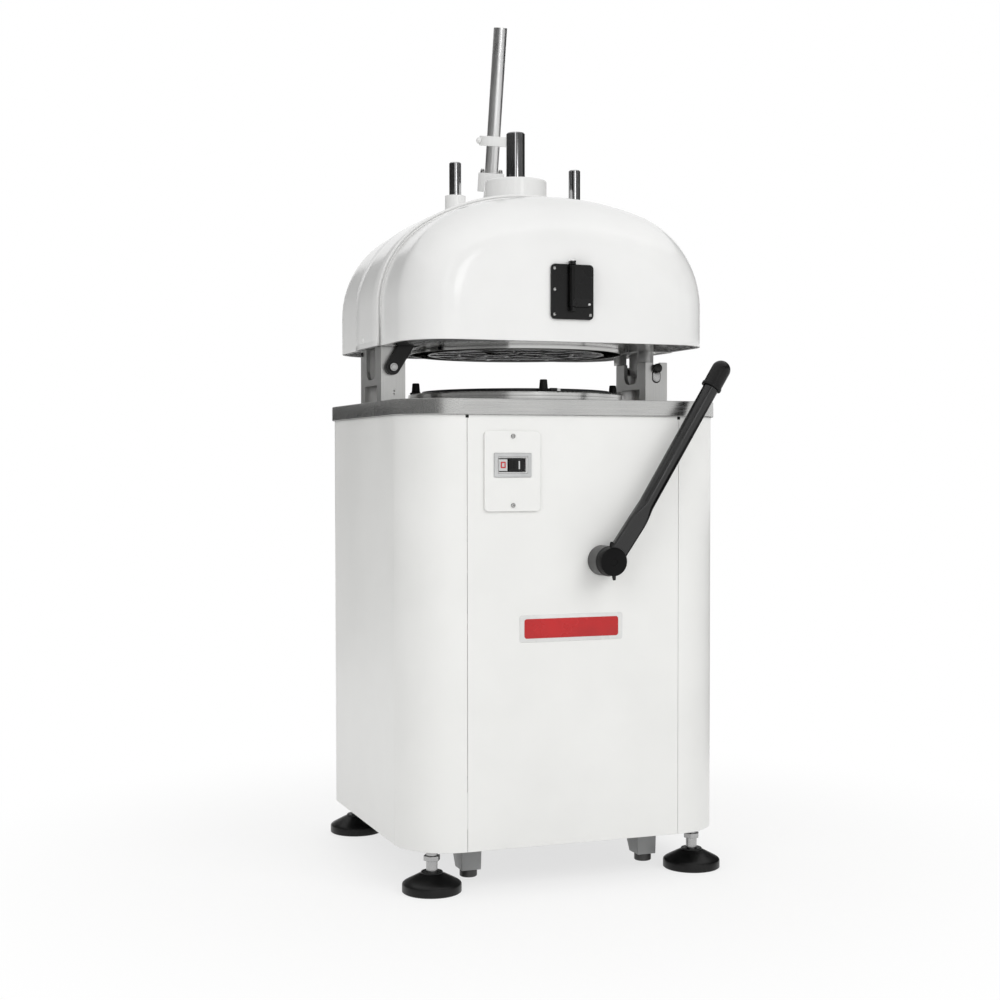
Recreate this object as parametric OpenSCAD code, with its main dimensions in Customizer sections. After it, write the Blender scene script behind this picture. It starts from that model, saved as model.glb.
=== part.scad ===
// Divider rounder for bread dough: a sheet cabinet with an orbiting table,
// two slotted posts and a domed press head that tilts to the right.
// Millimetres, +Z up, the front faces -Y, the floor is z = 0.

/* [Cabinet] */
// Cabinet width
cab_w = 640; // [600:5:680]
// Cabinet depth
cab_d = 620; // [600:5:660]
// Height of the painted panels
cab_h = 795; // [700:5:900]
// Corner radius in plan
cab_r = 103; // [95:1:108]
// Panel sheet thickness
sheet_t = 2.5; // [1.5:0.1:3]
// Seam between two panels
seam_gap = 0.8; // [0.4:0.1:1.5]
// Cabinet height above the floor
foot_h = 78; // [70:1:95]

/* [Table top] */
// Depth of the folded stainless edge
top_t = 29; // [26:1:36]
// Overhang past the panels
top_over = 5; // [4:0.5:8]
// Stainless sheet thickness
top_sheet = 3; // [2:0.5:4]

/* [Orbiting table] */
// Throw of the cranks
orbit = 8; // [6:0.5:9]
// Moulding plate thickness
mould_t = 6; // [4:0.5:7]
// Height of the rubber pegs
peg_h = 22; // [16:1:26]
// Main shaft diameter
shaft_d = 40; // [34:1:44]

/* [Posts] */
// Post width
post_w = 49; // [46:1:54]
// Post depth
post_d = 144; // [136:1:150]
// Post height
post_h = 88; // [84:1:94]
// Post plate thickness
post_t = 8; // [6:0.5:9]

/* [Head] */
// Gap from the table top to the head
head_gap = 108; // [104:1:120]
// Height of the head
head_rise = 304; // [296:1:325]
// Radius of the shoulders
side_r = 195; // [185:1:205]
// Depth of the arched yoke
band_d = 154; // [152:1:170]
// Wall of the yoke
band_t = 9; // [7:0.5:11]
// Reach of each shell past the yoke
shell_reach = 206; // [190:1:220]
// Wall of the shells
shell_t = 5; // [3:0.5:6]
// Rounding of the shell edges
edge_r = 92; // [70:1:93]
// Step from the yoke to the front shell
shell_step = 7; // [4:0.5:8]
// Drop of the front shell's crown below the yoke
shell_drop = 16; // [8:1:19]
// Step from the yoke to the rear shell
rear_step = 5; // [3:0.5:8]

/* [Press] */
// Centre column diameter
column_d = 38; // [32:1:42]
// Guide column diameter
guide_d = 24; // [18:1:28]
// Press tube diameter
tube_d = 28; // [24:1:28]
// Height of the press tube above the head
tube_up = 366.8; // [300:1:420]
// Knife thickness
blade_t = 2.5; // [1.5:0.1:3.5]

/* [Rounding lever] */
// Lever axis, across
lever_x = 53; // [40:1:60]
// Lever axis below the table top
lever_drop = 298; // [296:1:310]
// Lever tube diameter
lever_d = 30; // [26:1:32]
// Length of the lever tube
lever_len = 281; // [240:1:290]

/* [Switch] */
// Switch plate width
switch_w = 108.6; // [100:1:116]
// Switch plate height
switch_h = 146.4; // [120:1:160]
// Button travel
press_travel = 3; // [2:0.5:3.5]

/* [Feet] */
// Foot pad radius
pad_r = 54.8; // [46:0.5:58]
// Foot stem diameter
stem_d = 21; // [16:1:24]

/* [Hidden] */
$fn = 72;

// Running and free clearances
fit = 0.05;
air = 0.4;

// Heights of the cabinet and the table top
cab_top = foot_h + cab_h;
z_tab = cab_top + top_t;

// Plan of the cabinet
in_w = cab_w - 2 * sheet_t;
in_d = cab_d - 2 * sheet_t;
seam_x = cab_w / 2 - cab_r - 5.4;
seam_y = cab_d / 2 - cab_r;
top_w = cab_w + 2 * top_over;
top_d = cab_d + 2 * top_over;
foot_x = cab_w / 2 - 55;
foot_y = cab_d / 2 - 48;

// Frame inside the cabinet
tube_w = 40;
wall_t = 3;
up_x = cab_w / 2 - 52;
up_y = cab_d / 2 - 57;
base_z = foot_h + 2;
base_t = 12;
ring_t = 8;
ring_z = z_tab - top_sheet - ring_t;
plate_t = 14;
plate_z = z_tab - 56;
beam_z = plate_z - tube_w;
shelf_t = 10;
shelf_z = z_tab - 268;

// Posts, their slots and the head pin between the plates of the right one
post_in = cab_w / 2 - 65;
post_x = post_in + post_w / 2;
post_top = z_tab + post_h;
pin_r = 8.5 - fit;
pin_z = post_top - 12;
slot_z = post_top - 42;
slot_r = 20;
tongue_w = post_w - 2 * post_t - 4;
tongue_d = 56;
slot_d = tongue_d + 8;

// Table and its cranks
table_r = post_in - 37;
cover_t = 3;
cover_z = z_tab + 20;
carrier_z = z_tab + 3;
mould_r = table_r - 26;
peg_pitch = table_r - 12;
disc_z = z_tab - 22;
disc_t = 16;
pin_top = cover_z - cover_t - 2;
crank_r = 15;
idler_r = 8;
idler_pitch = 130;
idler_shaft = 10;

// Belt drive
belt_z = shelf_z + 26;
belt_w = 14;
belt_t = 9;
pulley_t = 30;
main_r = 112;
motor_r = 30;
motor_x = -150;
motor_y = 120;
motor_body = 75;
motor_len = 244;
span = sqrt(motor_x * motor_x + (motor_y - orbit) * (motor_y - orbit));
span_a = atan2(motor_y - orbit, motor_x);
wrap_a = acos((main_r - motor_r) / span);
run = span * sin(wrap_a);
idler_x = -125.5;
idler_y = 188.5;
idler_len = 70;
idler_a = -9.5;
roller_r = 18;
stud_r = 8;

// Rounding lever
lever_z = z_tab - lever_drop;
face_y = -cab_d / 2;
boss_r = 28;
boss_len = 36;
hub_r = 26.5;
hub_len = 21.5;
hub_y = face_y - boss_len - air;
bar_a = 35;
bar_len = 108;
tube_a = 31.5;
lever_y = face_y - 42;
rod_r = 12.5;
grip_r = lever_d / 2 + 3;
grip_len = 50;
grip_lip = 1.5;

// Outer ends of the machine along Y and the shift that centres them
axis_y = (max(grip_r + grip_lip - lever_y, hub_len - hub_y) - max(cab_d / 2 + top_over, foot_y + pad_r)) / 2;

// Switch
switch_x = -125.7;
switch_z = z_tab - 131.8;
switch_t = 5;
bezel_w = 72.3;
bezel_h = 43.1;
bezel_z = z_tab - 120.7;
bezel_out = 7;
bezel_in = 40;
well_w = 58;
well_h = 30;
well_d = 15;
stop_x = -143.9;
stop_w = 17;
start_x = -117.6;
start_w = 30.2;
key_h = 21.4;
key_d = 8;
key_in = 3;
stem_r = 4;
stem_in = 16;

// Head outline: straight legs, shoulder arcs and a crown arc
head_a = post_in + post_w + 9;
head_z = z_tab + head_gap;
head_top = head_z + head_rise;
crown_rise = 34;
arc_x = head_a - side_r;
arc_h = side_r + crown_rise;
z1 = head_top - arc_h;
lap_t = 0.1;
lap_a = 0.4;
band_y = band_d / 2;
shell_y = band_y + shell_reach;
band_edge = 9;
web_t = 4;
web_w = shell_step + shell_drop + shell_t + 8;
ledge_z = head_z + 30;
block_in = post_in - 5;
foot_in = post_in + post_t + 3;

// Press columns and their bosses, the guides inside the confining ring
cup_r = table_r - 40;
boss_d = 126;
guide_x = (boss_d / 2 + cup_r) / 2 + 8;
seat_z = head_top - 7;
boss_top = head_top + 38;
pad_t = 21;
guide_boss = 41;
guide_boss_z = head_top + 2;
column_top = head_top + 135;
guide_top = head_top + 68;

// Cutter: confining ring, knives and press segments
cup_t = 6;
cup_z = head_z - 8;
cup_h = 110;
lid_t = 12;
hoop_t = 1.5;
knife_h = 60;
gap_k = 0.5;
seg_r = cup_r - cup_t - hoop_t - gap_k;
seg_z = cup_z + 1.5;
seg_h = 65;
seg_t = 12;
cells = [4, 10, 16];
knife_1 = seg_r * sqrt(cells[0] / (cells[0] + cells[1] + cells[2]));
knife_2 = seg_r * sqrt((cells[0] + cells[1]) / (cells[0] + cells[1] + cells[2]));
knife_r = [0, knife_1, knife_2, cup_r - cup_t - hoop_t / 2];

// Guard ring and the floor plate of the head welded round it
guard_r = table_r - 3;
guard_t = 4;
guard_h = 98;
ear_t = 6;
floor_t = 2;
floor_x = head_a - shell_step - shell_t - 1.5;
floor_y = shell_y - shell_t - 1.5;
floor_r = edge_r - shell_t - 2;
floor_in = block_in - 25;
floor_cut = 95;

// Rocker that turns the press lever into the stroke
rock_y = 174.5;
rock_z = head_top - 84;
rock_len = 170;
rock_a = 12.92;
rock_r = 11;
rock_hub = 22;
arm_in = column_d / 2 + 9;
arm_out = arm_in + 12;
nose_y = rock_y - rock_len * cos(rock_a);
nose_z = rock_z + rock_len * sin(rock_a);
head_in = arm_out + 8;
cross_z = nose_z - rock_r - air;
cross_t = 24;
rib_in = arm_out + 12;
rib_t = 10;
lean = 11;
neck_r = 13;
neck_len = 140;
socket_u = 127;
socket_len = 39;
collar_u = 231;
tube_end = (tube_up + 84) / cos(lean);

// Latch on the front shell
latch_w = 85;
latch_h = 102;
latch_x = 3.5;
latch_z = head_z + 92.5;
latch_t = 5;
flap_w = 36;
flap_h = 77;
flap_z = head_z + 64;
flap_t = 13;
hinge_x = 1;
hinge_r = 3;
knuckle_r = 6;
hinge_y = -shell_y - latch_t - knuckle_r - air;

// Hold arm on the left post
arm_x = -post_x - 3.5;
arm_z = post_top - 21;
arm_w = 29;
arm_len = 70;
arm_t = 12;
arm_a = 32;
bolt_r = 6;

// Shared shapes

// The plan origin is the middle of the whole machine
module place() translate([0, axis_y, 0]) children();

module rounded(w, d, r) {
  square([w - 2 * r, d], center = true);
  square([w, d - 2 * r], center = true);
  for (sx = [-1, 1], sy = [-1, 1]) translate([sx * (w / 2 - r), sy * (d / 2 - r)]) circle(r);
}

// Box between two corners
module box(x0, x1, y0, y1, z0, z1) translate([x0, y0, z0]) cube([x1 - x0, y1 - y0, z1 - z0]);

// Round bar along Z, along X and along Y
module post(x, y, z0, z1, r) translate([x, y, z0]) cylinder(h = z1 - z0, r = r);
module bar_x(x0, x1, y, z, r) translate([x0, y, z]) rotate([0, 90, 0]) cylinder(h = x1 - x0, r = r);
module bar_y(x, y0, y1, z, r) translate([x, y1, z]) rotate([90, 0, 0]) cylinder(h = y1 - y0, r = r);

// Flat profile in X and Z, extruded along Y
module slab_y(y0, y1) translate([0, y1, 0]) rotate([90, 0, 0]) linear_extrude(y1 - y0) children();

// Part of the cabinet skin inside a plan window
module skin(x0, x1, y0, y1)
  translate([0, 0, foot_h]) linear_extrude(cab_h) intersection() {
    difference() {
      rounded(cab_w, cab_d, cab_r);
      rounded(in_w, in_d, cab_r - sheet_t);
    }
    translate([x0, y0]) square([x1 - x0, y1 - y0]);
  }

// Upright channel, open to the middle of the cabinet
module channel(s, y, z0, z1) difference() {
  box(s * up_x - tube_w / 2, s * up_x + tube_w / 2, y - tube_w / 2, y + tube_w / 2, z0, z1);
  translate([s * (up_x - wall_t) - tube_w / 2, y - tube_w / 2 + wall_t, z0])
    cube([tube_w, tube_w - 2 * wall_t, z1 - z0]);
}

// Rail along Y between the uprights, open to the middle
module rail(s, z0) difference() {
  box(s * up_x - tube_w / 2, s * up_x + tube_w / 2, tube_w / 2 - up_y, up_y - tube_w / 2, z0, z0 + tube_w);
  translate([s * (up_x - wall_t) - tube_w / 2, tube_w / 2 - up_y, z0 + wall_t])
    cube([tube_w, 2 * up_y - tube_w, tube_w - 2 * wall_t]);
}

// Where the three idler pins stand
function pin_at(i) = [idler_pitch * cos(90 + 120 * i), idler_pitch * sin(90 + 120 * i)];

// Section of a head sector: radius across, reach forward up
module sector_edge(ri, ro, s0, s1, r) {
  translate([ri, s0]) square([ro - ri, s1 - r - s0]);
  translate([ri, s0]) square([ro - r - ri, s1 - s0]);
  if (r > 0) translate([ro - r, s1 - r]) intersection() {
    circle(r);
    square(r);
  }
}

module sector(x, z, a0, a1, ri, ro, s0, s1, r)
  translate([x, 0, z]) rotate([90, 0, 0])
    rotate_extrude(start = a0, angle = a1 - a0) sector_edge(ri, ro, s0, s1, r);

// Solid of the head outline from reach s0 to s1, its front edge rounded by r.
// The shoulders stand out from the legs and the crown by a paint-thin step,
// and the crown runs a little way in under them. A drop makes the crown flatter.
module loaf(inset, drop, s0, s1, r, z0) {
  w = head_a - inset - lap_t;
  q = side_r - inset;
  h = arc_h - inset - drop;
  crown_r = (arc_x * arc_x + h * h - q * q) / (2 * (h - q));
  crown_z = z1 + h - crown_r;
  crown_a = asin(arc_x / (crown_r - q));
  f = s1 - (r > 0 ? lap_t : 0);
  translate([0, 0, z0]) linear_extrude(z1 - z0) {
    translate([-w, r - f]) square([2 * w, f - r - s0]);
    if (r > 0) {
      translate([r - w, -f]) square([2 * (w - r), f - s0]);
      for (s = [0, 1]) mirror([s, 0]) translate([w - r, r - f]) intersection() {
        circle(r);
        translate([0, -r]) square(r);
      }
    }
  }
  for (s = [0, 1]) mirror([s, 0, 0])
    sector(arc_x, z1, 0, 90 - crown_a, 0, q, s0, s1, r);
  top_a = crown_a + lap_a;
  sector(0, crown_z, 90 - top_a, 90 + top_a, z1 - crown_z, crown_r - lap_t, s0, f, r);
}

module shell(inset, drop) difference() {
  loaf(inset, drop, band_y, shell_y, edge_r, head_z);
  loaf(inset + shell_t, drop, band_y - 1, shell_y - shell_t, edge_r - shell_t, head_z - 1);
}

// Cabinet

module base_frame() color("dimgray") place() difference() {
  union() {
    translate([0, 0, base_z]) linear_extrude(base_t) difference() {
      rounded(in_w, in_d, cab_r - sheet_t);
      rounded(cab_w - 240, cab_d - 240, 30);
    }
    translate([0, 0, ring_z]) linear_extrude(ring_t) difference() {
      rounded(in_w, in_d, cab_r - sheet_t);
      rounded(cab_w - 160, cab_d - 160, 30);
    }
    translate([0, 0, cab_top - 2 * ring_t]) linear_extrude(ring_z - cab_top + 3 * ring_t) difference() {
      rounded(in_w, in_d, cab_r - sheet_t);
      rounded(in_w - 2 * wall_t, in_d - 2 * wall_t, cab_r - sheet_t - wall_t);
    }
    for (s = [-1, 1], t = [-1, 1]) channel(s, t * up_y, base_z + base_t, ring_z);
    for (s = [-1, 1]) rail(s, beam_z);
    rail(-1, shelf_z - shelf_t - tube_w);
    box(-up_x - tube_w / 2, 20, 60, up_y - tube_w / 2, shelf_z - shelf_t, shelf_z);
    post(idler_x, idler_y, shelf_z, belt_z + belt_w + 2, stud_r);
    post(idler_x, idler_y, shelf_z, belt_z - pulley_t / 2 - air, stud_r + 6);
  }
  for (s = [-1, 1], t = [-1, 1]) post(s * foot_x, t * foot_y, base_z, base_z + base_t, stem_d / 2);
  post(motor_x, motor_y, shelf_z - shelf_t, shelf_z, 18);
}

// Block of the switch bezel between two depths
module bezel_box(y0, y1)
  box(switch_x - bezel_w / 2, switch_x + bezel_w / 2, y0, y1, bezel_z - bezel_h / 2, bezel_z + bezel_h / 2);

module front_panel() color("white") place() difference() {
  skin(seam_gap / 2 - seam_x, seam_x - seam_gap / 2, -cab_d, 0);
  bezel_box(-cab_d, 0);
  bar_y(lever_x, -cab_d, 0, lever_z, boss_r);
}

module front_corners() color("white") place()
  for (s = [0, 1]) mirror([s, 0, 0]) skin(seam_x + seam_gap / 2, cab_w, -cab_d, -seam_y - seam_gap / 2);

module left_side_panel() color("white") place()
  skin(-cab_w, 0, seam_gap / 2 - seam_y, seam_y - seam_gap / 2);

module right_side_panel() color("white") place()
  skin(0, cab_w, seam_gap / 2 - seam_y, seam_y - seam_gap / 2);

module rear_panel() color("white") place() difference() {
  skin(seam_gap / 2 - seam_x, seam_x - seam_gap / 2, 0, cab_d);
  for (i = [-3:3]) box(-80, 80, 0, cab_d, shelf_z - 160 + 22 * i, shelf_z - 152 + 22 * i);
}

module rear_corners() color("white") place()
  for (s = [0, 1]) mirror([s, 0, 0]) skin(seam_x + seam_gap / 2, cab_w, seam_y + seam_gap / 2, cab_d);

module table_top() color("silver") place() difference() {
  translate([0, 0, cab_top]) linear_extrude(top_t) rounded(top_w, top_d, cab_r + top_over);
  translate([0, 0, cab_top]) linear_extrude(top_t - top_sheet)
    rounded(top_w - 2 * top_sheet, top_d - 2 * top_sheet, cab_r + top_over - top_sheet);
  post(0, orbit, cab_top, z_tab, crank_r + orbit + 3);
  for (i = [0:2]) translate(pin_at(i)) post(0, orbit, cab_top, z_tab, idler_r + orbit + 3);
}

// One copy at each foot
module at_feet() for (s = [-1, 1], t = [-1, 1]) translate([s * foot_x, t * foot_y, 0]) children();

module foot_pads() color("black") place() at_feet() rotate_extrude()
  polygon([[0, 0], [pad_r - 2, 0], [pad_r, 2], [pad_r, 11], [pad_r - 3, 13], [20, foot_h - 42],
    [19, foot_h - 40], [0, foot_h - 40]]);

module foot_stems() color("silver") place() at_feet() {
  post(0, 0, foot_h - 40, base_z + base_t, stem_d / 2);
  translate([0, 0, foot_h - 20]) cylinder(h = 9, r = stem_d / 2 + 5.5, $fn = 6);
}

module base_lugs() color("gray") place() for (s = [-1, 1]) translate([s * 180, face_y + 65, 0]) {
  difference() {
    box(-21, 21, -26, 26, foot_h - 32, base_z);
    for (t = [0, 1]) mirror([t, 0, 0]) translate([21, 0, base_z]) rotate([0, 7, 0])
      box(0, 20, -40, 40, -60, 20);
  }
  post(0, 0, foot_h - 45, foot_h - 32, 16);
}

// Posts

// Box of four plates with a rounded slot from the top and a window below it
module post_box(top) difference() {
  box(post_in, post_in + post_w, -post_d / 2, post_d / 2, z_tab, top);
  box(post_in + post_t, post_in + post_w - post_t, post_t - post_d / 2, post_d / 2 - post_t, z_tab, top);
  rotate([90, 0, 90]) linear_extrude(cab_w) translate([0, slot_z + post_h])
    rounded(slot_d, 2 * post_h, slot_r);
  box(0, cab_w, -43, 43, z_tab, z_tab + 34);
}

module left_post() color("silver") place() {
  difference() {
    mirror([1, 0, 0]) post_box(head_z - air);
    for (z = [16, 22]) bar_y(-post_x + 1.5, -cab_d, 0, z_tab + z, 1.5);
  }
  bar_y(arm_x, -post_d / 2 - arm_t - 2 * air, post_t - post_d / 2, arm_z, bolt_r);
  bar_y(arm_x, -post_d / 2 - arm_t - 2 * air - 4, -post_d / 2 - arm_t - 2 * air, arm_z, bolt_r + 1.5);
}

module right_post() color("silver") place() difference() {
  post_box(post_top);
  box(post_x - pin_r - fit, post_x + pin_r + fit, -cab_d, cab_d, pin_z, post_top);
  bar_y(post_x, -cab_d, cab_d, pin_z, pin_r + fit);
}

// Switch

module switch_plate() color("white") place() difference() {
  slab_y(face_y - switch_t, face_y) translate([switch_x, switch_z]) rounded(switch_w, switch_h, 8);
  bezel_box(-cab_d, 0);
}

module switch_body() color("silver") place() difference() {
  bezel_box(face_y - bezel_out, face_y + bezel_in);
  box(switch_x - well_w / 2, switch_x + well_w / 2, face_y - bezel_out, face_y - bezel_out + well_d,
    bezel_z - well_h / 2, bezel_z + well_h / 2);
  for (x = [stop_x, start_x])
    bar_y(x, face_y - bezel_out, face_y - bezel_out + well_d + stem_in, bezel_z, stem_r + fit);
}

module key(x, w) {
  box(x - w / 2, x + w / 2, face_y - bezel_out + key_in, face_y - bezel_out + key_in + key_d,
    bezel_z - key_h / 2, bezel_z + key_h / 2);
  bar_y(x, face_y - bezel_out + key_in + key_d, face_y - bezel_out + well_d + stem_in - press_travel - 1,
    bezel_z, stem_r);
}

module stop_button() color("gray") place() key(stop_x, stop_w);

module start_button() color("black") place() key(start_x, start_w);

// Rounding lever

module lever_bearing() color("gray") place() difference() {
  union() {
    bar_y(lever_x, face_y - boss_len, face_y + 50, lever_z, boss_r);
    bar_y(lever_x, face_y + sheet_t, face_y + sheet_t + 10, lever_z, boss_r + 18);
  }
  bar_y(lever_x, -cab_d, 0, lever_z, rod_r + fit);
}

module lever_shaft() color("silver") place() {
  bar_y(lever_x, hub_y - hub_len + 8, face_y + 150, lever_z, rod_r);
  bar_y(lever_x, face_y + 138, face_y + 150, lever_z, rod_r + 8);
  box(lever_x - 9, lever_x + 9, face_y + 138, face_y + 150, lever_z - 60, lever_z);
}

// Frame of the lever tube, from the bend upward
module along_lever() translate([lever_x, 0, lever_z]) rotate([0, bar_a, 0]) translate([0, lever_y, bar_len])
  rotate([0, tube_a - bar_a, 0]) children();

module lever_hub() color("black") place() difference() {
  union() {
    bar_y(lever_x, hub_y - hub_len, hub_y, lever_z, hub_r);
    translate([lever_x, 0, lever_z]) rotate([0, bar_a, 0]) slab_y(hub_y - 17.5, hub_y - 0.5) {
      translate([-17, 0]) square([34, bar_len]);
      translate([0, bar_len]) circle(17);
    }
  }
  bar_y(lever_x, hub_y - hub_len + 8, 0, lever_z, rod_r);
  along_lever() cylinder(h = lever_len, r = lever_d / 2);
}

module lever_tube() color("black") place() along_lever() cylinder(h = lever_len, r = lever_d / 2);

module lever_grip() color("black") place() along_lever() translate([0, 0, lever_len]) difference() {
  rotate_extrude() {
    translate([0, -8]) square([grip_r, grip_len - grip_r + 8]);
    translate([0, grip_len - grip_r]) intersection() {
      circle(grip_r);
      square(grip_r);
    }
    translate([0, -8]) square([grip_r + grip_lip, 6]);
  }
  translate([0, 0, -8]) cylinder(h = 8, r = lever_d / 2);
}

// Drive

module drive_plate() color("gray") place() difference() {
  union() {
    box(-up_x - tube_w / 2, up_x + tube_w / 2, -200, 200, plate_z, plate_z + plate_t);
    for (i = [0:2]) translate(pin_at(i)) post(0, orbit, plate_z - 20, disc_z - 2, idler_shaft + 12);
  }
  post(0, orbit, plate_z, plate_z + plate_t, shaft_d / 2 + 4);
  for (i = [0:2]) translate(pin_at(i)) post(0, orbit, plate_z - 20, disc_z - 2, idler_shaft + fit);
}

module main_bearing() color("gray") place() difference() {
  union() {
    post(0, orbit, plate_z - 130, plate_z, shaft_d / 2 + 32);
    post(0, orbit, plate_z - 14, plate_z, shaft_d / 2 + 55);
  }
  post(0, orbit, plate_z - 130, plate_z, shaft_d / 2 + fit);
}

module main_shaft() color("silver") place() {
  post(0, orbit, belt_z - pulley_t / 2 - 9, disc_z, shaft_d / 2);
  post(0, orbit, disc_z, disc_z + disc_t, crank_r + orbit + 14);
  post(0, 0, disc_z + disc_t, pin_top, crank_r);
}

// Grooved pulley section
module sheave(r, bore) rotate_extrude() polygon([[bore, -pulley_t / 2], [r + belt_t - 1, -pulley_t / 2],
  [r + belt_t - 1, -belt_w / 2 - air], [r, -belt_w / 2 - air], [r, belt_w / 2 + air],
  [r + belt_t - 1, belt_w / 2 + air], [r + belt_t - 1, pulley_t / 2], [bore, pulley_t / 2]]);

module main_pulley() color("gray") place() translate([0, orbit, belt_z]) difference() {
  sheave(main_r, shaft_d / 2);
  for (i = [0:4]) rotate([0, 0, 72 * i]) post(68, 0, -pulley_t, pulley_t, 22);
}

module motor_pulley() color("gray") place() translate([motor_x, motor_y, belt_z]) {
  sheave(motor_r, 12);
  post(0, 0, shelf_z - shelf_t - belt_z - 40, pulley_t / 2 + 4, 12);
}

module motor() color("steelblue") place() translate([motor_x, motor_y, shelf_z - shelf_t]) difference() {
  union() {
    post(0, 0, -motor_len, -14, motor_body - 7);
    post(0, 0, -14, 0, motor_body);
    post(0, 0, -motor_len, 30 - motor_len, motor_body);
    for (i = [0:11]) rotate([0, 0, 30 * i]) box(motor_body - 12, motor_body, -2, 2, -motor_len, -10);
    box(motor_body - 14, motor_body + 22, -36, 36, -150, -70);
  }
  post(0, 0, -45, 0, 12 + fit);
}

// Belt wrapped round a pulley, from angle a0 to a1
module belt_arc(x, y, r, a0, a1) translate([x, y, belt_z]) rotate_extrude(start = a0, angle = a1 - a0)
  translate([r + air, -belt_w / 2]) square([belt_t, belt_w]);

// Point of a straight run: r from the pulley centre, u along the run
function run_at(s, r, u) = [r * cos(span_a + s * wrap_a) + s * u * sin(span_a + s * wrap_a),
  orbit + r * sin(span_a + s * wrap_a) - s * u * cos(span_a + s * wrap_a)];

// The straight runs are a little thinner than the arcs and end inside them
module drive_belt() color("black") place() {
  belt_arc(0, orbit, main_r, span_a + wrap_a, span_a + 360 - wrap_a);
  belt_arc(motor_x, motor_y, motor_r, span_a - wrap_a, span_a + wrap_a);
  r0 = main_r + air + lap_t;
  r1 = main_r + air + belt_t - lap_t;
  for (s = [-1, 1]) translate([0, 0, belt_z - belt_w / 2]) linear_extrude(belt_w)
    polygon([run_at(s, r0, -1), run_at(s, r1, -1), run_at(s, r1, run + 1), run_at(s, r0, run + 1)]);
}

// Idler arm frame: pivot at the origin, the roller along +X
module at_idler() translate([idler_x, idler_y, belt_z]) rotate([0, 0, idler_a]) children();

module idler_arm() color("gray") place() at_idler() {
  difference() {
    translate([0, 0, -pulley_t / 2]) linear_extrude(6) {
      circle(stud_r + 10);
      translate([0, -9]) square([idler_len, 18]);
      translate([idler_len, 0]) circle(9);
      translate([-45, -7]) square([45, 14]);
    }
    post(0, 0, -pulley_t, pulley_t, stud_r + fit);
  }
  post(idler_len, 0, 6 - pulley_t / 2, pulley_t / 2, 5);
}

module idler_roller() color("silver") place() at_idler() difference() {
  post(idler_len, 0, 6 + air - pulley_t / 2, pulley_t / 2 - 1, roller_r);
  post(idler_len, 0, -pulley_t, pulley_t, 5 + fit);
}

module idler_crank(i) place() translate(pin_at(i)) {
  post(0, orbit, plate_z - 22, disc_z, idler_shaft);
  post(0, orbit, disc_z, disc_z + disc_t, idler_r + orbit + 9);
  post(0, 0, disc_z + disc_t, pin_top, idler_r);
}

module idler_crank_a() color("silver") idler_crank(0);

module idler_crank_b() color("silver") idler_crank(1);

module idler_crank_c() color("silver") idler_crank(2);

module table_carrier() color("gray") place() difference() {
  post(0, 0, carrier_z, cover_z - cover_t, table_r - cover_t - air);
  post(0, 0, carrier_z, cover_z, crank_r + fit);
  for (i = [0:2]) translate(pin_at(i)) post(0, 0, carrier_z, cover_z, idler_r + fit);
}

module table_cover() color("silver") place() difference() {
  rotate_extrude() {
    translate([0, carrier_z - 0.5]) square([table_r, cover_z - carrier_z - 2.5]);
    translate([0, carrier_z - 0.5]) square([table_r - 3, cover_z - carrier_z + 0.5]);
    translate([table_r - 3, cover_z - 3]) intersection() {
      circle(3);
      square(3);
    }
  }
  post(0, 0, carrier_z - 1, cover_z - cover_t, table_r - cover_t);
}

module moulding_plate() color("dimgray") place() {
  post(0, 0, cover_z, cover_z + mould_t, mould_r - 2);
  post(0, 0, cover_z, cover_z + mould_t - 2, mould_r);
}

module plate_pegs() color("black") place() for (i = [0:3]) rotate([0, 0, 264 + 90 * i])
  translate([peg_pitch, 0, cover_z]) rotate_extrude()
    polygon([[0, 0], [12, 0], [12, 2.5], [8.5, 4], [7, peg_h - 1], [6, peg_h], [0, peg_h]]);

// Head

module yoke() color("white") place() difference() {
  union() {
    difference() {
      loaf(0, 0, -band_y, band_y, band_edge, head_z);
      loaf(band_t, 0, -band_y - 1, band_y - web_t, 0, head_z - 1);
      loaf(web_w, 0, band_y - web_t - 1, band_y + 1, 0, head_z - 1);
    }
    post(0, 0, seat_z - pad_t, seat_z, boss_d / 2 + 9);
    for (s = [0, 1]) mirror([s, 0, 0]) {
      box(block_in, head_a - band_t / 2, -post_d / 2, post_d / 2, head_z + 2, ledge_z);
      translate([rib_in, 0, 0]) rotate([90, 0, 90]) linear_extrude(rib_t)
        polygon([[-30, seat_z - pad_t + 4], [-30, seat_z - pad_t - 12], [rock_y - 22, rock_z - 20],
          [rock_y + 20, rock_z - 20], [rock_y + 20, rock_z + 24], [70, seat_z - pad_t + 4]]);
    }
    for (t = [0, 1]) mirror([0, t, 0]) box(block_in, foot_in, 44, post_d / 2, post_top + air, head_z + 2);
    box(post_x - tongue_w / 2, post_x + tongue_w / 2, -tongue_d / 2, tongue_d / 2, pin_z, head_z + 2);
    bar_y(post_x, -tongue_d / 2, tongue_d / 2, pin_z, tongue_w / 2);
  }
  post(0, 0, seat_z, boss_top, boss_d / 2);
  post(0, 0, seat_z - pad_t - 1, seat_z + 1, column_d / 2 + 2);
  for (s = [-1, 1]) post(s * guide_x, 0, z1, head_top, guide_boss / 2);
  bar_y(post_x, -tongue_d, tongue_d, pin_z, pin_r);
  bar_x(-cab_w / 2, cab_w / 2, rock_y, rock_z, rock_r);
}

module front_shell() color("white") place() shell(shell_step, shell_drop);

module rear_shell() color("white") place() difference() {
  mirror([0, 1, 0]) shell(rear_step, 0);
  box(-20, 20, band_y + 15, rock_y + 4, z1, head_top + 1);
}

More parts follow.
